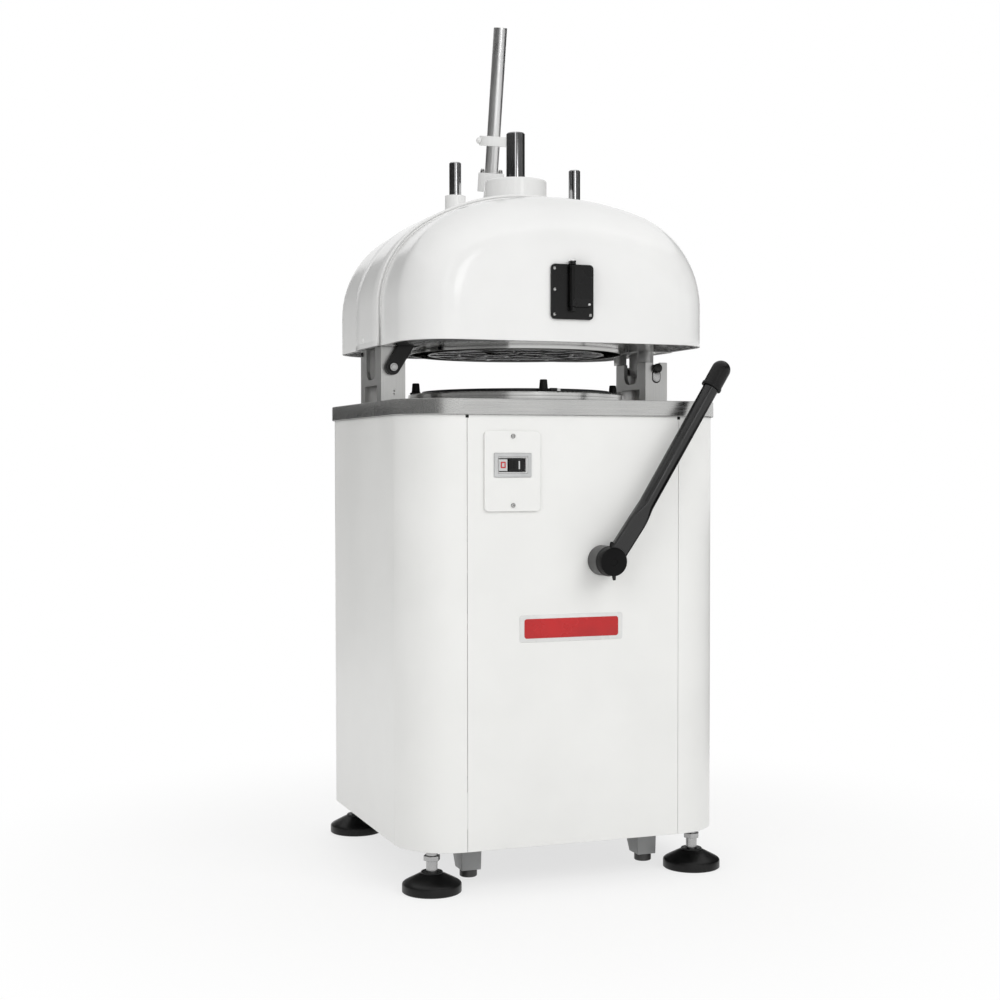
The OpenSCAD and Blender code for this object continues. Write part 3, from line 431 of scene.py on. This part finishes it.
def dress(node, material, edge):
    piece = cadNodes[node]
    mesh = piece.data
    mesh.materials.clear()
    mesh.materials.append(material)
    own = mesh.attributes.get("custom_normal")
    if own:
        mesh.attributes.remove(own)
    mesh.shade_smooth()
    addModifier(piece, "weld", "WELD", merge_threshold=dressing["weld"] * mm)
    addModifier(piece, "flatten", "DECIMATE", decimate_type="DISSOLVE", angle_limit=math.radians(dressing["flat"]))
    if edge:
        roundEdges(piece, "edge", edge, dressing["corner"], use_clamp_overlap=False)
    addModifier(piece, "shade", "WEIGHTED_NORMAL", keep_sharp=False)


for node, (material, edge) in finishes.items():
    dress(node, material, edge)
print("nodes dressed:", len(finishes))


# head shells: arched outline with a rounded front edge, made as even quads and thickened inwards

head = {"halfWidth": 313, "low": 1010, "top": 1314, "shoulder": 195, "crownRise": 34, "start": 77, "reach": 206,
        "edge": 92, "thick": 5, "legSteps": 6, "shoulderSteps": 26, "edgeSteps": 14, "lip": 4, "rim": 1.2,
        "rimCorner": 50, "sharp": 60, "crownSteps": 40, "besideSlot": 18, "overSlot": 6,
        "front": {"step": 7, "drop": 16}, "rear": {"step": 5, "drop": 0},
        "slot": {"halfWidth": 20, "from": 92, "middle": 135, "to": 178.5, "below": 60}}


def headOutline(inset, drop, slotHalf):
    # points across the arch from the left foot to the right foot, as x and z
    arcX = head["halfWidth"] - head["shoulder"]
    springZ = head["top"] - head["shoulder"] - head["crownRise"]
    side = head["shoulder"] - inset
    rise = head["shoulder"] + head["crownRise"] - inset - drop
    crownR = (arcX ** 2 + rise ** 2 - side ** 2) / (2 * (rise - side))
    crownZ = springZ + rise - crownR
    crownA = math.asin(arcX / (crownR - side))
    right = []
    for k in range(head["legSteps"]):
        right.append((head["halfWidth"] - inset, head["low"] + (springZ - head["low"]) * k / head["legSteps"]))
    for k in range(head["shoulderSteps"]):
        a = (math.pi / 2 - crownA) * k / head["shoulderSteps"]
        right.append((arcX + side * math.cos(a), springZ + side * math.sin(a)))
    turns = [crownA * (2 * k / head["crownSteps"] - 1) for k in range(head["crownSteps"] + 1)]
    if slotHalf:
        edge = math.asin(slotHalf / crownR)
        beside = [edge + (crownA - edge) * (k + 1) / head["besideSlot"] for k in range(head["besideSlot"])]
        over = [edge * (2 * k / head["overSlot"] - 1) for k in range(head["overSlot"] + 1)]
        turns = [-t for t in beside[::-1]] + over + beside
    over = [(crownR * math.sin(t), crownZ + crownR * math.cos(t)) for t in turns]
    return [(-x, z) for x, z in right] + over + right[::-1]


def headShell(name, side, facing, slot):
    straight = head["start"] + head["reach"] - head["edge"]
    rows = [(0, head["start"])] + [(0, head["slot"][key]) for key in ("from", "middle", "to")]
    for k in range(head["edgeSteps"] + 1):
        a = math.pi / 2 * k / head["edgeSteps"]
        rows.append((head["edge"] * (1 - math.cos(a)), straight + head["edge"] * math.sin(a)))
    rows.append((head["edge"] + head["lip"], straight + head["edge"]))
    points = []
    slotHalf = slot["halfWidth"] if slot else 0
    for inward, out in rows:
        line = headOutline(side["step"] + inward, side["drop"], slotHalf)
        points += [at(x, facing * out, z) for x, z in line]
    count = len(line)
    first = headOutline(side["step"], side["drop"], slotHalf)

    def inSlot(face):
        j, k = divmod(face[0], count)
        return slot["from"] <= rows[j][1] < slot["to"] and first[k][1] > head["top"] - slot["below"] and \
            abs(first[k][0] + first[k + 1][0]) / 2 < slotHalf

    faces = [face for face in gridFaces(len(rows), count, False) if not (slot and inSlot(face))]
    faces.append(endFaces(len(rows), count)[1])
    shell = newPiece(name, meshOf(name, points, faces, head["sharp"]), whiteEnamel, "head")
    addModifier(shell, "skin", "SOLIDIFY", thickness=head["thick"] * mm, offset=-1, use_even_offset=True)
    roundEdges(shell, "rim", head["rim"], head["rimCorner"])
    addModifier(shell, "shade", "WEIGHTED_NORMAL", keep_sharp=False)
    return shell


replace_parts(headShell("headFront", head["front"], -1, None), "front_shell")
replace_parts(headShell("headRear", head["rear"], 1, head["slot"]), "rear_shell")

# smooth skin over the yoke's arch, with its two edges rounded: inset from the arch and place from front to back
band = {"rows": ((4.6, -77.3), (1.2, -77.3), (0.1, -76.8), (-0.3, -75.6), (-0.3, -40), (-0.3, 0), (-0.3, 40),
                 (-0.3, 75.6), (0.1, 76.8), (1.2, 77.3), (4.4, 77.3)), "thick": 2, "sharp": 70}

bandPoints = []
for inset, y in band["rows"]:
    line = headOutline(inset, 0, 0)
    bandPoints += [at(x, y, z) for x, z in line]
bandMesh = meshOf("yokeBand", bandPoints, gridFaces(len(band["rows"]), len(line), False), band["sharp"])
yokeBand = newPiece("yokeBand", bandMesh, whiteEnamel, "head")
addModifier(yokeBand, "skin", "SOLIDIFY", thickness=band["thick"] * mm, offset=-1)
print("head shells made")


# small fittings

block = {"segments": 3, "sharp": 40}


def blockMesh(name, edge, corner):
    # cube with each corner put where the corner function says, and then its edges rounded
    bm = bmesh.new()
    bmesh.ops.create_cube(bm, size=1)
    for v in bm.verts:
        v.co = corner(v.co)
    bmesh.ops.bevel(bm, geom=bm.edges[:], offset=edge * mm, segments=block["segments"], affect="EDGES", profile=0.5)
    mesh = bpy.data.meshes.new(name)
    bm.to_mesh(mesh)
    bm.free()
    mesh.shade_smooth()
    mesh.set_sharp_from_angle(angle=math.radians(block["sharp"]))
    return mesh


def bevelledBlock(name, low, high, edge, material, body, slot):
    # block between two corners in mm
    size = Vector([(h - l) * mm for l, h in zip(low, high)])
    middle = at(*[(l + h) / 2 for l, h in zip(low, high)])
    newPiece(name, blockMesh(name, edge, lambda c: middle + c * size), material, body)


# heads of fasteners: rows are shares of the radius, or of the width over the flats, and of the height
# a washer's rows have their heights in mm
heads = {"sunk": 0.5, "sharp": 50, "panSteps": 24, "pan": ((0.4, 0.35), (0.42, 1), (0.62, 1), (0.86, 0.8), (1, 0.35)),
         "domeSteps": 28, "domeRows": 8, "hex": ((0.48, 1), (0.577, 0.82), (0.577, 0)), "hexSharp": 20,
         "washer": ((0.4, 1.4), (0.72, 1.4), (0.76, 1), (0.76, -0.3)), "washerSteps": 32, "washerSharp": 40}


def panScrew(name, spot, axis, radius, tall, material, body, slot):
    # pan head with a round socket
    rows = [(radius * r, tall * h) for r, h in heads["pan"]]
    profile = [(tip, rows[0][1]), *rows, (radius, -heads["sunk"])]
    newPiece(name, lathe(name, profile, at(*spot), axis, heads["panSteps"], heads["sharp"]), material, body)


def domeHead(name, spot, axis, radius, tall, material, body, slot):
    # rounded rivet or pin head
    turns = [math.pi / 2 * k / heads["domeRows"] for k in range(heads["domeRows"] + 1)]
    profile = [(max(radius * math.sin(a), tip), tall * math.cos(a)) for a in turns] + [(radius, -heads["sunk"])]
    newPiece(name, lathe(name, profile, at(*spot), axis, heads["domeSteps"], heads["sharp"]), material, body)


def hexBolt(name, spot, axis, flat, tall, material, body, slot):
    # six-sided head with its corners turned off, on a washer
    bolt = [(tip, tall)] + [(flat * r, tall * h) for r, h in heads["hex"]]
    newPiece(name, lathe(name, bolt, at(*spot), axis, 6, heads["hexSharp"]), material, body)
    washer = [(flat * r, h) for r, h in heads["washer"]]
    newPiece(name + "Washer", lathe(name + "Washer", washer, at(*spot), axis, heads["washerSteps"],
                                    heads["washerSharp"]), material, body)


def cornerLoop(wide, tall, corner, steps=8):
    loop = []
    for sx, sz, start in ((1, 1, 0), (-1, 1, 90), (-1, -1, 180), (1, -1, 270)):
        for k in range(steps + 1):
            a = math.radians(start + 90 * k / steps)
            loop.append((sx * (wide / 2 - corner) + corner * math.cos(a),
                         sz * (tall / 2 - corner) + corner * math.sin(a)))
    return loop


plate = {"round": 0.3, "leastCorner": 0.2, "sharp": 30}


def facePlate(name, middle, wide, tall, corner, frontY, backY, edge, material, body, slot, hole=0):
    # flat plate facing the front, its front edge rounded; hole is the width of the rim when it is a frame
    bend = edge * plate["round"]
    rows = [(0, backY), (0, frontY + edge), (bend, frontY + bend), (edge, frontY)]
    if hole:
        rows += [(hole, frontY), (hole, backY)]
    points = []
    for inward, y in rows:
        loop = cornerLoop(wide - 2 * inward, tall - 2 * inward, max(corner - inward, plate["leastCorner"]))
        points += [at(middle[0] + x, y, middle[1] + z) for x, z in loop]
    faces = gridFaces(len(rows), len(loop), loop=bool(hole))
    if not hole:
        faces += endFaces(len(rows), len(loop))
    newPiece(name, meshOf(name, points, faces, plate["sharp"]), material, body)


# switch: fixing screws, tray behind the keys and the marks on the keys

switch = {"middle": (-125.7, 781.3), "screws": ((-125, 834), (-125, 708)), "screwRadius": 4.4, "screwTall": 2.6,
          "plateFront": -315, "tray": (57, 29, 1.5), "trayFloor": (51, 24.5, 1.5), "trayFront": -316.6,
          "trayBack": -309.5, "trayWall": 0.4, "traySharp": 50, "keyFront": -314, "sunk": 0.3,
          "stopMark": ((-143.9, 781.6), 9.5, 11.5, 1.2), "stopRim": 2.2, "startLine": ((-112.6, 781.3), 2.6, 15, 0.8),
          "markRaised": 0.35, "markEdge": 0.15, "ribs": 5, "ribFirst": -132.66, "ribPitch": 3.06,
          "rib": (1.5, 15, 0.6), "ribRaised": 0.7, "ribEdge": 0.4}

for i, (x, z) in enumerate(switch["screws"]):
    panScrew(f"switchScrew{i}", (x, switch["plateFront"], z), (0, -1, 0), switch["screwRadius"], switch["screwTall"],
             brightSteel, "base", "steel")

trayPoints = []
for size, y in (("tray", "trayFront"), ("trayFloor", "trayBack")):
    loop = cornerLoop(*switch[size])
    trayPoints += [at(switch["middle"][0] + x, switch[y], switch["middle"][1] + z) for x, z in loop]
trayMesh = meshOf("switchTray", trayPoints, gridFaces(2, len(loop)), switch["traySharp"])
tray = newPiece("switchTray", trayMesh, whitePlastic, "base")
addModifier(tray, "wall", "SOLIDIFY", thickness=switch["trayWall"] * mm)

markFront, markBack = switch["keyFront"] - switch["markRaised"], switch["keyFront"] + switch["sunk"]
facePlate("stopMark", *switch["stopMark"], markFront, markBack, switch["markEdge"], redEnamel, "stop_key",
          "grey_plastic", switch["stopRim"])
facePlate("startLine", *switch["startLine"], markFront, markBack, switch["markEdge"], greyPlastic, "start_key",
          "black_plastic")
for i in range(switch["ribs"]):
    facePlate(f"startRib{i}", (switch["ribFirst"] + switch["ribPitch"] * i, switch["middle"][1]), *switch["rib"],
              switch["keyFront"] - switch["ribRaised"], markBack, switch["ribEdge"], blackPlastic, "start_key",
              "black_plastic")
print("switch fitted")


# latch: screws, pin head and the bright end of its bolt

latch = {"front": -288, "screws": ((-32.5, 1060), (39.5, 1060), (-32.5, 1145), (39.5, 1145), (-32, 1106)),
         "radius": 3.2, "screwTall": 1.6, "pin": (1, -294.4, 1157.5), "pinSteps": 32, "pinSharp": 50,
         "pinProfile": [(tip, 5.5), (3, 5.2), (5.5, 4), (7, 2), (7, 0.8), (6, 0), (3.2, -0.3), (3.2, -4)],
         "tongue": (34, -294.4, 1080), "tongueTall": 3}

for i, (x, z) in enumerate(latch["screws"]):
    domeHead(f"latchScrew{i}", (x, latch["front"], z), (0, -1, 0), latch["radius"], latch["screwTall"], brightSteel,
             "head", "black_paint")
pinMesh = lathe("latchPin", latch["pinProfile"], at(*latch["pin"]), (0, 0, 1), latch["pinSteps"], latch["pinSharp"])
newPiece("latchPin", pinMesh, satinTube, "head")
domeHead("latchTongue", latch["tongue"], (0.5, -1, 0), latch["radius"], latch["tongueTall"], satinTube, "flap",
         "hard_chrome")

# badge place on the front panel: plain plate with a plain red field, each as width, height, corner, front, back, edge

badge = {"middle": (-7.7, 481), "plate": (206, 50, 5, -311, -310, 0.5), "field": (188, 36, 5, -311.6, -310.9, 0.4)}

facePlate("badgePlate", badge["middle"], *badge["plate"], whitePlastic, "base", "white_paint")
facePlate("badgeField", badge["middle"], *badge["field"], redEnamel, "base", "white_paint")
print("latch and badge fitted")


# fittings on the head and the press lever

press = {"pivot": (0, 174.5, 1230), "lean": 11, "studs": (20, 166), "studSize": (4.5, 8), "collar": (-30, 231),
         "collarSize": (7.5, 8), "bossScrew": (34, 8, 1352), "bossSize": (5.5, 7), "rivet": (313, 22, 1026),
         "rivetSize": (5.5, 3)}

pressLean = math.radians(press["lean"])
leverAxis = (0, -math.sin(pressLean), math.cos(pressLean))


def onLever(x, along):
    # place on the leaning lever: sideways from its middle, and up along it from its pivot
    px, py, pz = press["pivot"]
    return px + x, py + along * leverAxis[1], pz + along * leverAxis[2]


for i, s in enumerate((-1, 1)):
    studX, studAlong = press["studs"]
    panScrew(f"socketStud{i}", onLever(s * studX, studAlong), leverAxis, *press["studSize"], brightSteel,
             "press_lever", "steel")
    rivetX, rivetY, rivetZ = press["rivet"]
    domeHead(f"yokeRivet{i}", (s * rivetX, rivetY, rivetZ), (s, 0, 0), *press["rivetSize"], whiteEnamel, "head",
             "white_casting")
domeHead("collarBolt", onLever(*press["collar"]), (-1, 0, 0), *press["collarSize"], whiteEnamel, "press_lever",
         "white_casting")
panScrew("bossScrew", press["bossScrew"], (0, 0, 1), *press["bossSize"], darkSteel, "head", "dark_steel")

# table top: clip on the rim, folded bracket by the right post, black blocks of painted shade at the tops of the front
# seams, as the two corners of each block

table = {"clip": ((-9, -210, 921.8), (5, -202, 928)), "clipEnd": ((5, -209.5, 921.8), (12, -202.5, 927.5)),
         "clipEdge": 1.2, "bracket": ((244, 25, 901.8), (246.5, 45, 934)), "bracketEdge": 0.8,
         "bracketLip": ((231, 25, 931.5), (246.5, 45, 934.2)), "seamX": 211.6, "notchShadeHalf": 3, "notchShadeY": (-310.6, -308),
         "notchShadeZ": (867, 872), "notchShadeEdge": 0.5}

bevelledBlock("rimClip", *table["clip"], table["clipEdge"], blackPlastic, "table", "peg_rubber")
bevelledBlock("rimClipEnd", *table["clipEnd"], table["clipEdge"], whitePlastic, "table", "white_paint")
bevelledBlock("sideBracket", *table["bracket"], table["bracketEdge"], whitePowder, "base", "white_paint")
bevelledBlock("sideBracketLip", *table["bracketLip"], table["bracketEdge"], whitePowder, "base", "white_paint")
# the black blocks at the tops of the front seams are painted shade: they stand for the notches there, which lie in
# shadow under the table top's edge
for i, s in enumerate((-1, 1)):
    low, high = zip((s * table["seamX"] - table["notchShadeHalf"], s * table["seamX"] + table["notchShadeHalf"]), table["notchShadeY"],
                    table["notchShadeZ"])
    bevelledBlock(f"seamNotchShade{i}", low, high, table["notchShadeEdge"], blackPlastic, "base", "black_plastic")

# rounding lever: turned hub, and one bar that is pressed flat at the hub and round under the grip
# pairs give the value at the hub and the value under the grip; square 2 is round and more is squarer

lever = {"axis": (53, 604), "hubBack": -346.5, "hubSteps": 96, "hubSharp": 40,
         "hubProfile": [(tip, 20.5), (6.5, 20.5), (7.2, 21.4), (24.1, 21.4), (25.8, 20.7), (26.5, 19), (26.5, 0.8),
                        (25.7, 0), (tip, 0)],
         "length": 388, "steps": 72, "round": 40, "barSharp": 45, "knee": (84, 132), "pressed": (82, 128),
         "lean": (35, 31.5), "wide": (17.5, 15), "deep": (8.7, 15), "square": (4.5, 2), "y": (-355.5, -352),
         "screw": (52, -357, 629.5), "screwAxis": (0.05, 0, 1), "screwSize": (4, 11),
         "screwEnd": (57, -357, 578.5), "screwEndAxis": (0.05, 0, -1), "screwEndSize": (3.6, 9)}


def smooth(value, low, high):
    t = min(max((value - low) / (high - low), 0), 1)
    return t * t * (3 - 2 * t)


def blend(pair, share):
    return pair[0] + (pair[1] - pair[0]) * share


lx, lz = lever["axis"]
hubMesh = lathe("leverHub", lever["hubProfile"], at(lx, lever["hubBack"], lz), (0, -1, 0), lever["hubSteps"],
                lever["hubSharp"])
leverHub = newPiece("leverHub", hubMesh, hubEnamel, "rounding_lever")
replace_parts(leverHub, "lever_hub")

barPoints = []
step = lever["length"] / lever["steps"]
for j in range(lever["steps"] + 1):
    lean = math.radians(blend(lever["lean"], smooth(j * step, *lever["knee"])))
    full = smooth(j * step, *lever["pressed"])
    power = 2 / blend(lever["square"], full)
    for k in range(lever["round"]):
        a = 2 * math.pi * k / lever["round"]
        u = math.copysign(abs(math.cos(a)) ** power, math.cos(a)) * blend(lever["wide"], full)
        v = math.copysign(abs(math.sin(a)) ** power, math.sin(a)) * blend(lever["deep"], full)
        barPoints.append(at(lx + u * math.cos(lean), blend(lever["y"], full) + v, lz - u * math.sin(lean)))
    lx, lz = lx + step * math.sin(lean), lz + step * math.cos(lean)
barRows = lever["steps"] + 1
barFaces = gridFaces(barRows, lever["round"]) + endFaces(barRows, lever["round"])
barMesh = meshOf("leverBar", barPoints, barFaces, lever["barSharp"])
leverBar = newPiece("leverBar", barMesh, leverEnamel, "rounding_lever")
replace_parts(leverBar, "lever_tube")
panScrew("hubScrew", lever["screw"], lever["screwAxis"], *lever["screwSize"], blackEnamel, "rounding_lever",
         "black_paint")
panScrew("hubScrewEnd", lever["screwEnd"], lever["screwEndAxis"], *lever["screwEndSize"], darkSteel,
         "rounding_lever", "black_paint")
print("lever made")


# feet: moulded pads with a straight rim, and the cast lugs under the frame

feet = {"x": 265, "y": 262, "steps": 96, "sharp": 30,
        "profile": [(tip, 0), (52.8, 0), (54.8, 1.6), (54.8, 14.5), (54.1, 16.5), (51.4, 18.9), (46.8, 21.5),
                    (24, 33.4), (21, 34.4), (20.2, 35.2), (20.2, 37.1), (19.4, 38), (tip, 38)]}

for i, (sx, sy) in enumerate(((-1, -1), (1, -1), (-1, 1), (1, 1))):
    padMesh = lathe(f"footPad{i}", feet["profile"], at(sx * feet["x"], sy * feet["y"], 0), (0, 0, 1), feet["steps"],
                    feet["sharp"])
    pad = newPiece(f"footPad{i}", padMesh, blackPlastic, "base")
    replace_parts(pad, "foot_pads")

# pairs give the lug's upper end and its lower end
lugs = {"x": 180, "half": (20.5, 19), "front": -240, "back": (-172, -200), "z": (80, 26), "edge": 1.6,
        "socketY": -221, "socketZ": 12, "socketSteps": 48, "socketSharp": 40,
        "socket": [(tip, 0), (15, 0), (16.5, 1.5), (16.5, 16), (tip, 16)],
        "plateHalf": 15, "plateY": (-241.2, -222), "plateZ": (72, 80), "plateEdge": 0.8,
        "nut": (30, -228, 80), "nutSize": (16, 9)}

for i, s in enumerate((-1, 1)):
    def lugCorner(c, middle=s * lugs["x"]):
        end = 0 if c.z > 0 else 1
        return at(middle + math.copysign(lugs["half"][end], c.x), lugs["front"] if c.y < 0 else lugs["back"][end],
                  lugs["z"][end])

    lugMesh = blockMesh(f"baseLug{i}", lugs["edge"], lugCorner)
    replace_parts(newPiece(f"baseLug{i}", lugMesh, lugEnamel, "base"), "base_lugs")
    socketMesh = lathe(f"lugSocket{i}", lugs["socket"], at(s * lugs["x"], lugs["socketY"], lugs["socketZ"]),
                       (0, 0, 1), lugs["socketSteps"], lugs["socketSharp"])
    newPiece(f"lugSocket{i}", socketMesh, bearingGrey, "base")
    low, high = zip((s * lugs["x"] - lugs["plateHalf"], s * lugs["x"] + lugs["plateHalf"]), lugs["plateY"],
                    lugs["plateZ"])
    bevelledBlock(f"lugPlate{i}", low, high, lugs["plateEdge"], bearingGrey, "base", "grey_paint")
    nutX, nutY, nutZ = lugs["nut"]
    hexBolt(f"lugNut{i}", (s * lugs["x"] + nutX, nutY, nutZ), (0, 0, -1), *lugs["nutSize"], darkSteel, "base",
            "dark_steel")
print("feet and lugs made")


# posts: pin cap, the bright pad under the pin and the pivot bolt of the locking arm
# seat and pad are given as width, height, corner, front, back and edge

posts = {"pin": (279.5, -80, 978), "pinSize": (9.6, 2.4), "padMiddle": (279.5, 961.5),
         "seat": (19, 27, 9.1, -72.5, -71.6, 0.4), "pad": (15.6, 22, 7.4, -73.3, -71.6, 0.4),
         "armBolt": (-283, -89.2, 969), "armBoltSize": (10, 4), "sidePin": (-304, 58, 1001), "sidePinSize": (4.5, 5)}

domeHead("pinCap", posts["pin"], (0, -1, 0), *posts["pinSize"], darkSteel, "head", "dark_steel")
facePlate("pinSeat", posts["padMiddle"], *posts["seat"], darkSteel, "base", "dark_steel")
facePlate("pinPad", posts["padMiddle"], *posts["pad"], zincPlate, "base", "steel")
hexBolt("armBolt", posts["armBolt"], (0, -1, 0), *posts["armBoltSize"], zincPlate, "base", "dark_steel")
domeHead("sidePin", posts["sidePin"], (-1, 0, 0), *posts["sidePinSize"], darkSteel, "base", "dark_steel")

# fixing screws of the rear panel

rear = {"x": 192, "z": (130, 490, 850), "face": 310, "screwSize": (4.4, 2.6)}

for i, s in enumerate((-1, 1)):
    for j, z in enumerate(rear["z"]):
        panScrew(f"rearScrew{i}{j}", (s * rear["x"], rear["face"], z), (0, 1, 0), *rear["screwSize"], brightSteel,
                 "base", "steel")
print("fittings made")
